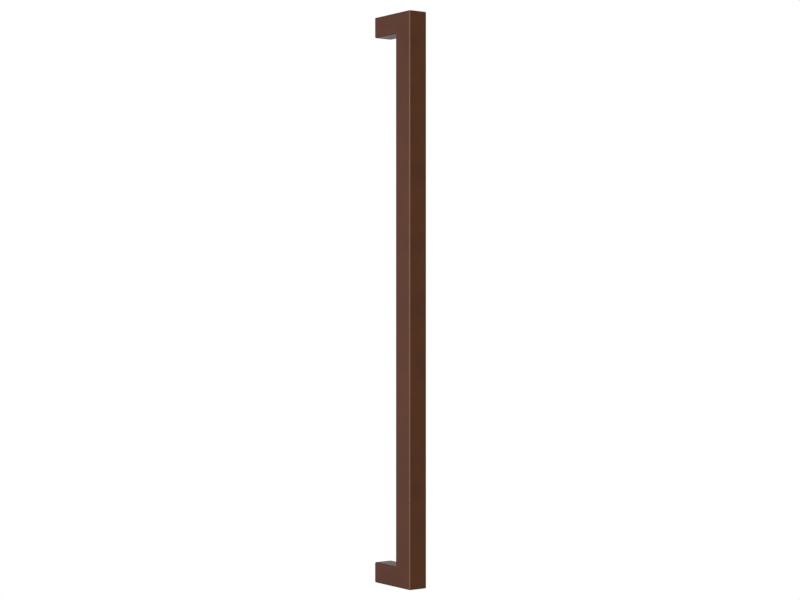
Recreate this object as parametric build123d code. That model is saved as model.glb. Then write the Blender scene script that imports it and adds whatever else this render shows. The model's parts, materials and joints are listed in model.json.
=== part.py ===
from build123d import *
from math import radians, tan
import os

# Straight square bar pull for a cabinet door or drawer front, cast in one piece.
# A leg at each end holds the bar off the door and takes one screw from behind.
# Millimetres. The door is the plane y = 0 and the bar stands off it towards -Y.
# +Z runs along the bar, and the origin lies midway between the two screw holes.

# Driving sizes of the casting
hole_spacing = 320.0  # from one screw axis to the other
pull_width = 12.0  # across the bar and its legs, along X
leg_thickness = 12.0  # of each leg, along Z
bar_depth = 14.0  # of the bar, from its front face to its back face
projection = 35.0  # from the door to the front face of the bar
edge_round = 0.8  # radius of the outer edges
inner_corner_round = 0.4  # radius in the corner between leg and bar
foot_chamfer = 0.3  # width of the chamfer round each foot

# Driving sizes of the tapped screw holes
tapping_diameter = 3.3  # core of an M4 thread
lead_in_diameter = 4.3  # mouth of the countersink that starts the screw
lead_in_angle = 90.0  # full angle of that countersink
wall_length = 15.0  # straight wall, from the countersink to the drill point
drill_point_angle = 118.0  # full angle of the cone at the blind end

# Sizes that follow from them
overall_length = hole_spacing + leg_thickness
finger_space_length = hole_spacing - leg_thickness
finger_space_depth = projection - bar_depth


def casting_outline():
    """Side view of the pull in the YZ plane: a U that opens towards the door."""
    block = Pos(-projection / 2, 0) * Rectangle(projection, overall_length)
    finger_space = Pos(-finger_space_depth / 2, 0) * Rectangle(finger_space_depth, finger_space_length)
    outline = Plane.YZ * (block - finger_space)
    inner_corners = outline.vertices().filter_by_position(
        Axis.Y, -finger_space_depth, -finger_space_depth
    )
    return fillet(inner_corners, inner_corner_round)


def casting():
    """The U given its width, with rounded outer edges and chamfered feet."""
    body = extrude(casting_outline(), amount=pull_width / 2, both=True)
    front = body.faces().sort_by(Axis.Y).first
    sides = body.faces().filter_by(Axis.X)
    outer_edges = front.edges() + sides.edges().filter_by_position(Axis.Y, -projection, 0, (True, False))
    body = fillet(outer_edges, edge_round)
    foot_edges = body.faces().group_by(Axis.Y)[-1].edges()
    return chamfer(foot_edges, foot_chamfer)


def screw_hole():
    """Space of one tapped hole, drilled from the origin towards -Y."""
    core_radius = tapping_diameter / 2
    mouth_radius = lead_in_diameter / 2
    lead_in_depth = (mouth_radius - core_radius) / tan(radians(lead_in_angle / 2))
    wall_end = lead_in_depth + wall_length
    point_end = wall_end + core_radius / tan(radians(drill_point_angle / 2))
    half_section = Polyline(
        (0, 0),
        (mouth_radius, 0),
        (core_radius, -lead_in_depth),
        (core_radius, -wall_end),
        (0, -point_end),
        close=True,
    )
    return revolve(make_face(half_section), Axis.Y)


def bar_pull():
    """The casting with one screw hole in the middle of each foot."""
    pull = casting()
    for end in (-1, 1):
        pull -= Pos(0, 0, end * hole_spacing / 2) * screw_hole()
    return pull


pull = bar_pull()
pull.label = "bar_pull"
pull.color = Color(0.31, 0.2, 0.13)

os.makedirs("parts", exist_ok=True)
export_step(pull, "parts/bar_pull.step")
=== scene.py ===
import json
from math import cos, pi, radians, sin, tan

import bmesh
import bpy
from mathutils import Matrix, Vector


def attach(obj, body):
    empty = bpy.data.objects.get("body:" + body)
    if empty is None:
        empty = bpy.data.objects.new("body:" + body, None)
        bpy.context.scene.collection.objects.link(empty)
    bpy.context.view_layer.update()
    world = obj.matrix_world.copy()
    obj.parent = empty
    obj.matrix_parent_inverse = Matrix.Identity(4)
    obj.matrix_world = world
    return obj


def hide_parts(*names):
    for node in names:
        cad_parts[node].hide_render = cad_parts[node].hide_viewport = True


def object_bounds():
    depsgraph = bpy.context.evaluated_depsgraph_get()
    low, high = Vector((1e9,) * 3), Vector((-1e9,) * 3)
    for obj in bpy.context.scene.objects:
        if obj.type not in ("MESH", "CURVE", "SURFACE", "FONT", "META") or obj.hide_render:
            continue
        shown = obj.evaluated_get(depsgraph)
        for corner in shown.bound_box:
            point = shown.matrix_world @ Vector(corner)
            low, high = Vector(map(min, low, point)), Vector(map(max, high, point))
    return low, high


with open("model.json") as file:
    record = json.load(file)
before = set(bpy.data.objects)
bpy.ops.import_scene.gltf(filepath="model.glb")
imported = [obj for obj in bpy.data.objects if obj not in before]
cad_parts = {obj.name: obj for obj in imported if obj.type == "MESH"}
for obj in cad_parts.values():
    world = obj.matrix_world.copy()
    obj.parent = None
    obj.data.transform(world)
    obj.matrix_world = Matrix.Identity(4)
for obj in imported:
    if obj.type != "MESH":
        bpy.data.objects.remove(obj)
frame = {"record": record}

# Looks of a straight square bar pull in one dark bronze casting, in metres.
# The door is the plane y = 0, the bar stands off it towards -Y, and +Z runs along the bar.

MM = 0.001
cad_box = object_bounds()
mounts = {mount["name"]: mount for mount in frame["record"]["mounts"]}
screw_hole = mounts["upper_screw_hole"]

# Sizes of the casting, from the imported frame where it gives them
side_x = cad_box[1].x
front_y = cad_box[0].y
foot_y = cad_box[1].y
end_z = cad_box[1].z
hole_z = screw_hole["pos_m"][2]
leg_thickness = 2 * (end_z - hole_z)
bar_depth = 14.0 * MM
bar_back_y = front_y + bar_depth
edge_round = 0.8 * MM
inner_corner_round = 0.4 * MM
foot_chamfer = 0.3 * MM

# Sizes of the M4 screw holes
core_radius = screw_hole["dims"]["r_mm"] * MM
wall_length = screw_hole["dims"]["length_mm"] * MM
mouth_radius = 2.15 * MM
lead_in_angle = radians(90)  # full angle of the countersink
lead_in_depth = (mouth_radius - core_radius) / tan(lead_in_angle / 2)
drill_point_angle = radians(118)  # full angle of the cone at the blind end
drill_point_depth = core_radius / tan(drill_point_angle / 2)
thread_radius = 2.0 * MM
thread_pitch = 0.7 * MM
thread_length = 12.0 * MM
thread_angle = radians(60)  # from one flank to the next
thread_flank = (thread_radius - core_radius) * tan(thread_angle / 2)
thread_root_flat = thread_pitch / 8
thread_fade = 1.5 * thread_pitch  # length over which the thread runs out at its inner end
spare_turns = 2  # cut away again at the two ends of the thread

# Smoothness of the round stretches
edge_segments = 8
corner_segments = 5
hole_segments = 48

# How edges are told apart, and how near is near enough
square_angle = radians(80)  # a corner of the raw block turns by more
sharp_angle = radians(28)  # an edge that turns by less is shaded smooth
flat_angle = radians(1)  # faces that turn by less are made one
same_depth = 0.005 * MM
merge_distance = 0.002 * MM
cut_distance = 0.00001 * MM

# Material slots of the casting
coat_slot = 0
bare_slot = 1

# Tones of the finishes, as linear colours
dark_bronze = (0.0550, 0.0150, 0.0008, 1)
light_bronze = (0.0806, 0.0226, 0.0022, 1)
# lighter tone of the long front edges: partly wear, partly a painted highlight
worn_edge_highlight_bronze = (0.119, 0.051, 0.0245, 1)
grazing_bronze = (0.34, 0.26, 0.07, 1)  # where the plating is seen nearly edge-on
clean_zinc = (0.47, 0.465, 0.45, 1)
dull_zinc = (0.32, 0.31, 0.3, 1)
# darker tone towards the roots of the thread
thread_root_tone = (0.1, 0.085, 0.065, 1)

# Patterns of the finishes, counted per metre
coat_specks = 4200.0
zinc_specks = 5200.0
clouds = 70.0
belt_marks = 7500.0
waves = 160.0
edge_patches = 420.0
tool_rings = 9000.0
belt_mark_stretch = 0.012  # count along the marks, as a share of the count across them

# Heights of their relief
belt_mark_height = 0.003 * MM
wave_height = 0.012 * MM
tool_ring_height = 0.006 * MM

# The studio
room_white = (1, 1, 1, 1)
room_grey = (0.6, 0.6, 0.6, 1)  # the room as light on what is matt
floor_grey = (0.72, 0.72, 0.72, 1)
floor_lift = (0.25, 0.25, 0.25, 1)  # brings the floor near white where it is seen
no_light = (0, 0, 0, 1)
floor_z = -0.45
floor_reach = 4.0
fade_start = 0.5  # the floor is pale up to here
fade_end = 1.5  # and white from here on
lamp_distance = 1.5

# The camera, solved from the photograph's outline
lens = 78.792
camera_yaw = radians(35.495)
camera_place = (-0.59164, -0.84667, 0.00007)


def placed(name, data):
    """A new object in the scene, for a mesh, a lamp or a camera."""
    made = bpy.data.objects.new(name, data)
    bpy.context.scene.collection.objects.link(made)
    return made


def finished_mesh(bm, name, *materials):
    """Turns the work in hand into a mesh that wears these materials."""
    mesh = bpy.data.meshes.new(name)
    for material in materials:
        mesh.materials.append(material)
    bm.to_mesh(mesh)
    bm.free()
    return mesh


def nearest_face(bm, point):
    """The face whose middle lies nearest to a point."""
    return min(bm.faces, key=lambda face: (face.calc_center_median() - Vector(point)).length)


def pull_out(bm, point, shift):
    """Extrudes the face at a point by a shift."""
    made = bmesh.ops.extrude_discrete_faces(bm, faces=[nearest_face(bm, point)])
    bmesh.ops.translate(bm, verts=made["faces"][0].verts, vec=shift)


def round_edges(bm, edges, radius, segments):
    """Rounds edges with a radius, or chamfers them with one segment."""
    bmesh.ops.bevel(
        bm,
        geom=edges,
        offset=radius,
        offset_type="OFFSET",
        affect="EDGES",
        segments=segments,
        profile=0.5,
        material=-1,
        clamp_overlap=False,
    )


def at_depth(edge, y):
    """Whether an edge lies in the plane across the screw holes at y."""
    return all(abs(vert.co.y - y) < same_depth for vert in edge.verts)


def bridge_at(bm, *depths):
    """Closes the mesh between the open loops at these depths, and gives the new faces."""
    loops = [
        edge
        for edge in bm.edges
        if len(edge.link_faces) < 2 and any(at_depth(edge, y) for y in depths)
    ]
    return bmesh.ops.bridge_loops(bm, edges=loops)["faces"]


def casting():
    """The bar and its two legs, drawn out from the block at the upper corner."""
    bm = bmesh.new()
    leg_bottom = end_z - leg_thickness
    middle_y = (front_y + bar_back_y) / 2
    leg_reach = foot_y - bar_back_y
    bmesh.ops.create_cube(bm, size=1)
    bmesh.ops.scale(bm, verts=bm.verts, vec=(2 * side_x, bar_depth, leg_thickness))
    bmesh.ops.translate(bm, verts=bm.verts, vec=(0, middle_y, hole_z))
    pull_out(bm, (0, bar_back_y, hole_z), (0, leg_reach, 0))
    pull_out(bm, (0, middle_y, leg_bottom), (0, 0, -2 * leg_bottom))
    pull_out(bm, (0, middle_y, -leg_bottom), (0, 0, -leg_thickness))
    pull_out(bm, (0, bar_back_y, -hole_z), (0, leg_reach, 0))
    bmesh.ops.recalc_face_normals(bm, faces=bm.faces)
    inner = [edge for edge in bm.edges if edge.calc_face_angle_signed() < -square_angle]
    round_edges(bm, inner, inner_corner_round, corner_segments)
    bmesh.ops.dissolve_limit(bm, angle_limit=flat_angle, verts=bm.verts, edges=bm.edges)
    outer = [
        edge
        for edge in bm.edges
        if edge.calc_face_angle_signed() > square_angle and not at_depth(edge, foot_y)
    ]
    round_edges(bm, outer, edge_round, edge_segments)
    feet = [edge for edge in bm.edges if at_depth(edge, foot_y)]
    round_edges(bm, feet, foot_chamfer, segments=1)
    return bm


def ring(bm, radius, y, filled=False):
    """A circle round the hole's axis, open or filled with a fan."""
    return bmesh.ops.create_circle(
        bm,
        cap_ends=filled,
        cap_tris=filled,
        segments=hole_segments,
        radius=radius,
        matrix=Matrix.Translation((0, y, 0)) @ Matrix.Rotation(pi / 2, 4, "X"),
    )["verts"]


def cut_off(bm, y, side):
    """Cuts the mesh at y and takes away what lies beyond, towards +Y or -Y."""
    bmesh.ops.bisect_plane(
        bm,
        geom=bm.verts[:] + bm.edges[:] + bm.faces[:],
        dist=cut_distance,
        plane_co=(0, y, 0),
        plane_no=(0, side, 0),
        clear_outer=True,
    )


def off_axis(vert):
    """How far a point lies from the axis of the hole."""
    return Vector((vert.co.x, vert.co.z)).length


def spun_thread(bm):
    """The threaded wall of a hole along the Y axis, longer than needed at both ends."""
    crest_end = thread_pitch - 2 * thread_flank - thread_root_flat
    root_start = crest_end + thread_flank
    root_end = root_start + thread_root_flat
    one_pitch = [
        (core_radius, 0),
        (core_radius, crest_end),
        (thread_radius, root_start),
        (thread_radius, root_end),
        (core_radius, thread_pitch),
    ]
    verts = [bm.verts.new((radius, thread_pitch - along, 0)) for radius, along in one_pitch]
    edges = [bm.edges.new(pair) for pair in zip(verts, verts[1:])]
    turns = round(thread_length / thread_pitch) + spare_turns
    bmesh.ops.spin(
        bm,
        geom=verts + edges,
        cent=(0, 0, 0),
        axis=(0, -1, 0),
        dvec=(0, -thread_pitch / hole_segments, 0),
        angle=turns * 2 * pi,
        steps=turns * hole_segments,
    )


def tapped_hole(end):
    """The wall of the upper or lower blind M4 hole, from its countersunk mouth towards -Y."""
    bm = bmesh.new()
    spun_thread(bm)
    thread_top = -lead_in_depth
    thread_bottom = thread_top - thread_length
    cut_off(bm, thread_top, 1)
    cut_off(bm, thread_bottom, -1)
    bmesh.ops.remove_doubles(bm, verts=bm.verts, dist=merge_distance)
    for vert in bm.verts:
        kept = min(1, (vert.co.y - thread_bottom) / thread_fade)
        radius = off_axis(vert)
        shrunk = (core_radius + (radius - core_radius) * kept) / radius
        vert.co.x *= shrunk
        vert.co.z *= shrunk
    ring(bm, mouth_radius, 0)
    bridge_at(bm, 0, thread_top)
    wall_end = thread_top - wall_length
    fan = ring(bm, core_radius, wall_end, filled=True)
    bridge_at(bm, thread_bottom, wall_end)
    tip = min(fan, key=off_axis)
    bmesh.ops.translate(bm, verts=[tip], vec=(0, -drill_point_depth, 0))
    bmesh.ops.translate(bm, verts=bm.verts, vec=(0, foot_y, end * hole_z))
    return finished_mesh(bm, "tapped_hole")


def open_foot(bm, end):
    """Sets a tapped hole into the flat face of the upper or the lower foot."""
    foot = nearest_face(bm, (0, foot_y, end * hole_z))
    bmesh.ops.delete(bm, geom=[foot], context="FACES_ONLY")
    coated = set(bm.faces)
    hole = tapped_hole(end)
    bm.from_mesh(hole)
    bpy.data.meshes.remove(hole)
    for face in set(bm.faces) - coated:
        face.material_index = bare_slot
    for face in bridge_at(bm, foot_y):
        face.material_index = coat_slot


def shade_flat_faces_flat(piece):
    """Lets the broad flat faces set the shading, so that only the rounds turn the light."""
    modifier = piece.modifiers.new("weighted_normals", "WEIGHTED_NORMAL")
    modifier.mode = "FACE_AREA"
    modifier.weight = 80
    modifier.keep_sharp = True


def bar_pull(coat, bare_metal):
    """The coated casting with its two tapped holes, which are bare metal."""
    bm = casting()
    for end in (1, -1):
        open_foot(bm, end)
    bmesh.ops.recalc_face_normals(bm, faces=bm.faces)
    for face in bm.faces:
        face.smooth = True
    for edge in bm.edges:
        edge.smooth = edge.calc_face_angle(0) < sharp_angle
        # Seams keep the coat and the bare metal apart on a texture
        on_coat = any(face.material_index == coat_slot for face in edge.link_faces)
        edge.seam = on_coat and not edge.smooth
    piece = placed("pull_casting", finished_mesh(bm, "pull_casting", coat, bare_metal))
    shade_flat_faces_flat(piece)
    return piece


def add(tree, kind, inputs, **options):
    """Adds a shader node, sets its options, and gives each input a value or a link."""
    node = tree.nodes.new("ShaderNode" + kind)
    for option, value in options.items():
        setattr(node, option, value)
    for name, value in inputs.items():
        if isinstance(value, bpy.types.NodeSocket):
            tree.links.new(value, node.inputs[name])
        else:
            node.inputs[name].default_value = value
    return node


def compute(tree, operation, first, second=0.0, third=0.0):
    """The result of one step of arithmetic on up to three values."""
    return add(tree, "Math", {0: first, 1: second, 2: third}, operation=operation).outputs[0]


def mixed(tree, first, second, share):
    """Two patterns in one, with this share of the first."""
    rest = compute(tree, "MULTIPLY", second, 1 - share)
    return compute(tree, "MULTIPLY_ADD", first, share, rest)


def ramp(tree, value, low, high, to_low=0.0, to_high=1.0):
    """Carries a value smoothly from one range over to another."""
    inputs = {
        "Value": value,
        "From Min": low,
        "From Max": high,
        "To Min": to_low,
        "To Max": to_high,
    }
    return add(tree, "MapRange", inputs, interpolation_type="SMOOTHSTEP").outputs["Result"]


# A Mix node has a pair of sockets for each kind of value, so theirs are given by place.


def blend_numbers(tree, factor, first, second):
    """Goes from the first number to the second as the factor grows to 1."""
    return add(tree, "Mix", {0: factor, 2: first, 3: second}, data_type="FLOAT").outputs[0]


def blend_colours(tree, factor, first, second):
    """Goes from the first colour to the second as the factor grows to 1."""
    return add(tree, "Mix", {0: factor, 6: first, 7: second}, data_type="RGBA").outputs[2]


def noise(tree, place, per_metre, detail=2.0, roughness=0.5):
    """Noise round 0.5, with so many blots per metre."""
    inputs = {"Vector": place, "Scale": per_metre, "Detail": detail, "Roughness": roughness}
    return add(tree, "TexNoise", inputs).outputs["Fac"]


def stretched(tree, place, scale):
    """The place, with its three directions scaled."""
    return add(tree, "Mapping", {"Vector": place, "Scale": scale}).outputs["Vector"]


def cast_grain():
    """Node group for the grain of cast metal: small specks and slow clouds, each round 0.5."""
    tree = bpy.data.node_groups.new("cast_grain", "ShaderNodeTree")
    new_socket = tree.interface.new_socket
    new_socket(name="Place", in_out="INPUT", socket_type="NodeSocketVector")
    new_socket(name="Specks per metre", in_out="INPUT", socket_type="NodeSocketFloat")
    new_socket(name="Specks", in_out="OUTPUT", socket_type="NodeSocketFloat")
    new_socket(name="Clouds", in_out="OUTPUT", socket_type="NodeSocketFloat")
    given = tree.nodes.new("NodeGroupInput").outputs
    result = tree.nodes.new("NodeGroupOutput").inputs
    fine = noise(tree, given["Place"], given["Specks per metre"], detail=2.0, roughness=0.7)
    slow = noise(tree, given["Place"], clouds, detail=4.0, roughness=0.55)
    tree.links.new(fine, result["Specks"])
    tree.links.new(slow, result["Clouds"])
    return tree


def grained(tree, group, place, specks):
    """Sets the cast grain into a material."""
    node = tree.nodes.new("ShaderNodeGroup")
    node.node_tree = group
    tree.links.new(place, node.inputs["Place"])
    node.inputs["Specks per metre"].default_value = specks
    return node.outputs


def new_material(name):
    """A material with its node tree and its shader."""
    material = bpy.data.materials.new(name)
    material.use_nodes = True
    tree = material.node_tree
    return material, tree, tree.nodes["Principled BSDF"]


def belt_lines(tree, place, facing):
    """Marks of the polishing belt along the bar, and along a leg on its top and underside."""
    along_bar = stretched(tree, place, (1, 1, belt_mark_stretch))
    along_leg = stretched(tree, place, (1, belt_mark_stretch, 1))
    on_bar = noise(tree, along_bar, belt_marks, detail=3.0, roughness=0.6)
    on_leg = noise(tree, along_leg, belt_marks, detail=3.0, roughness=0.6)
    level = ramp(tree, compute(tree, "ABSOLUTE", facing["Z"]), low=0.6, high=0.8)
    return blend_numbers(tree, level, on_bar, on_leg)


def worn_and_highlit_edges(tree, place, facing):
    """Where hands reach first, and where a painted highlight stands in for the glint of a lamp:
    the two long rounds along the front, a little unevenly.
    """
    sideways = ramp(tree, compute(tree, "ABSOLUTE", facing["X"]), low=0.15, high=0.55)
    forwards = ramp(tree, facing["Y"], low=-0.03, high=-0.25)
    patches = noise(tree, place, edge_patches, detail=4.0, roughness=0.6)
    uneven = ramp(tree, patches, low=0.25, high=0.6, to_low=0.8, to_high=1.0)
    return compute(tree, "MULTIPLY", compute(tree, "MULTIPLY", sideways, forwards), uneven)


def bronze_coat(group):
    """Dark bronze plating under a thin satin lacquer, lighter along the front edges, partly
    from wear and partly a painted highlight.
    """
    material, tree, shader = new_material("dark_bronze_coat")
    surface = add(tree, "TexCoord", {}).outputs
    place = surface["Object"]
    facing = add(tree, "SeparateXYZ", {"Vector": surface["Normal"]}).outputs
    grain = grained(tree, group, place, coat_specks)
    lines = belt_lines(tree, place, facing)

    fine = mixed(tree, grain["Specks"], lines, share=0.6)
    tone = ramp(tree, mixed(tree, fine, grain["Clouds"], share=0.6), low=0.35, high=0.65)
    bronze = blend_colours(tree, tone, dark_bronze, light_bronze)
    # The long front edges get the lighter tone, partly wear and partly a painted highlight
    colour = blend_colours(tree, worn_and_highlit_edges(tree, place, facing), bronze, worn_edge_highlight_bronze)
    tree.links.new(colour, shader.inputs["Base Color"])

    gloss = mixed(tree, grain["Clouds"], lines, share=0.7)
    roughness = ramp(tree, gloss, low=0.25, high=0.75, to_low=0.33, to_high=0.43)
    tree.links.new(roughness, shader.inputs["Roughness"])

    marks = {
        "Height": mixed(tree, lines, grain["Specks"], share=0.7),
        "Strength": 0.6,
        "Distance": belt_mark_height,
    }
    marked = add(tree, "Bump", marks).outputs["Normal"]
    swell = {
        "Height": noise(tree, place, waves, detail=1.0),
        "Strength": 0.5,
        "Distance": wave_height,
        "Normal": marked,
    }
    tree.links.new(add(tree, "Bump", swell).outputs["Normal"], shader.inputs["Normal"])

    shader.inputs["Metallic"].default_value = 1.0
    shader.inputs["Specular Tint"].default_value = grazing_bronze
    shader.inputs["Coat Weight"].default_value = 0.345
    shader.inputs["Coat Roughness"].default_value = 0.27
    return material


def bare_zinc(group):
    """Zinc bared by drill and tap: rings from the tools, a dull film, darker in the roots of
    the thread.
    """
    material, tree, shader = new_material("bare_zinc")
    place = add(tree, "TexCoord", {}).outputs["Object"]
    grain = grained(tree, group, place, zinc_specks)

    where = add(tree, "SeparateXYZ", {"Vector": place}).outputs
    above = compute(tree, "SUBTRACT", compute(tree, "ABSOLUTE", where["Z"]), hole_z)
    across = add(tree, "CombineXYZ", {"X": where["X"], "Y": above}).outputs["Vector"]
    radius = add(tree, "VectorMath", {0: across}, operation="LENGTH").outputs["Value"]
    section = add(tree, "CombineXYZ", {"X": radius, "Y": where["Y"]}).outputs["Vector"]
    rings = noise(tree, section, tool_rings, detail=3.0, roughness=0.6)

    film = mixed(tree, grain["Clouds"], grain["Specks"], share=0.5)
    zinc = blend_colours(tree, ramp(tree, film, low=0.35, high=0.65), clean_zinc, dull_zinc)
    in_root = ramp(tree, radius, low=core_radius + 0.1 * MM, high=thread_radius)
    in_thread = ramp(tree, where["Y"], low=-lead_in_depth, high=-lead_in_depth - 0.3 * MM)
    darker_roots = compute(tree, "MULTIPLY", in_root, in_thread)
    # The roots of the thread, beyond the countersink, are made darker
    colour = blend_colours(tree, darker_roots, zinc, thread_root_tone)
    tree.links.new(colour, shader.inputs["Base Color"])

    roughness = ramp(tree, rings, low=0.3, high=0.7, to_low=0.28, to_high=0.5)
    tree.links.new(roughness, shader.inputs["Roughness"])
    turning = {"Height": rings, "Strength": 0.7, "Distance": tool_ring_height}
    tree.links.new(add(tree, "Bump", turning).outputs["Normal"], shader.inputs["Normal"])
    shader.inputs["Metallic"].default_value = 1.0
    return material


def seen_directly(tree):
    """Where light goes straight to the camera, or there off a gloss or through glass."""
    path = add(tree, "LightPath", {}).outputs
    seen = compute(tree, "MAXIMUM", path["Is Camera Ray"], path["Is Glossy Ray"])
    return compute(tree, "MAXIMUM", seen, path["Is Transmission Ray"])


def studio_room():
    """White, as the camera and the metal see it, and softer as light on what is matt."""
    world = bpy.data.worlds.new("studio_room")
    bpy.context.scene.world = world
    world.use_nodes = True
    tree = world.node_tree
    tree.nodes.clear()
    soft = add(tree, "Background", {"Color": room_grey}).outputs[0]
    white = add(tree, "Background", {"Color": room_white}).outputs[0]
    room = add(tree, "MixShader", {0: seen_directly(tree), 1: soft, 2: white}).outputs[0]
    add(tree, "OutputWorld", {"Surface": room})


def pale_floor():
    """Matt and pale under the pull, white further off, and clear from below."""
    material = bpy.data.materials.new("pale_floor")
    material.use_nodes = True
    tree = material.node_tree
    tree.nodes.clear()
    seen = seen_directly(tree)
    place = stretched(tree, add(tree, "TexCoord", {}).outputs["Object"], (1, 1, 0))
    distance = add(tree, "VectorMath", {0: place}, operation="LENGTH").outputs["Value"]
    far_off = ramp(tree, distance, low=fade_start, high=fade_end)
    faded = compute(tree, "MULTIPLY", far_off, seen)
    matt = add(tree, "BsdfDiffuse", {"Color": floor_grey}).outputs[0]
    dark = add(tree, "Emission", {"Color": no_light}).outputs[0]
    lift = add(tree, "Emission", {"Color": floor_lift}).outputs[0]
    lifted = add(tree, "MixShader", {0: seen, 1: dark, 2: lift}).outputs[0]
    pale = add(tree, "AddShader", {0: matt, 1: lifted}).outputs[0]
    white = add(tree, "Emission", {"Color": room_white}).outputs[0]
    top = add(tree, "MixShader", {0: faded, 1: pale, 2: white}).outputs[0]
    clear = add(tree, "BsdfTransparent", {}).outputs[0]
    below = add(tree, "NewGeometry", {}).outputs["Backfacing"]
    floor = add(tree, "MixShader", {0: below, 1: top, 2: clear}).outputs[0]
    add(tree, "OutputMaterial", {"Surface": floor})
    return material


def studio_floor():
    """A floor well below the pull, which keeps its shadow and fades to the room's white."""
    bm = bmesh.new()
    bmesh.ops.create_grid(bm, x_segments=1, y_segments=1, size=floor_reach)
    bmesh.ops.translate(bm, verts=bm.verts, vec=(0, 0, floor_z))
    floor = placed("studio_floor", finished_mesh(bm, "studio_floor", pale_floor()))


def softbox(name, azimuth, elevation, width, height, brightness):
    """A lamp turned to the middle of the bar. Azimuth 0 is straight in front, and a
    brightness of 1 is that of the white room."""
    azimuth, elevation = radians(azimuth), radians(elevation)
    outward = Vector(
        (sin(azimuth) * cos(elevation), -cos(azimuth) * cos(elevation), sin(elevation))
    )
    data = bpy.data.lights.new(name, "AREA")
    data.shape = "RECTANGLE"
    data.size = width
    data.size_y = height
    data.energy = brightness * pi * width * height
    lamp = placed(name, data)
    lamp.location = lamp_distance * outward
    lamp.rotation_euler = outward.to_track_quat("Z", "Y").to_euler()
    lamp.visible_camera = False


def camera():
    """The photograph's view: level with the middle of the bar, from the front left."""
    data = bpy.data.cameras.new("camera")
    data.lens = lens
    data.clip_start = 0.01
    data.clip_end = 50
    holder = placed("camera", data)
    holder.location = camera_place
    holder.rotation_euler = (pi / 2, 0, -camera_yaw)
    bpy.context.scene.camera = holder


grain_group = cast_grain()
pull = bar_pull(bronze_coat(grain_group), bare_zinc(grain_group))
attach(pull, "root")
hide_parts("bar_pull")

studio_room()
studio_floor()
softbox("front_left_softbox", azimuth=-67, elevation=0, width=1.8, height=1.4, brightness=1.55)
softbox("rear_left_softbox", azimuth=-145, elevation=-5, width=0.9, height=1.3, brightness=0.73)
softbox("overhead_softbox", azimuth=-20, elevation=68, width=1.2, height=1.2, brightness=1.2)
camera()
bpy.context.scene.view_settings.view_transform = "Standard"
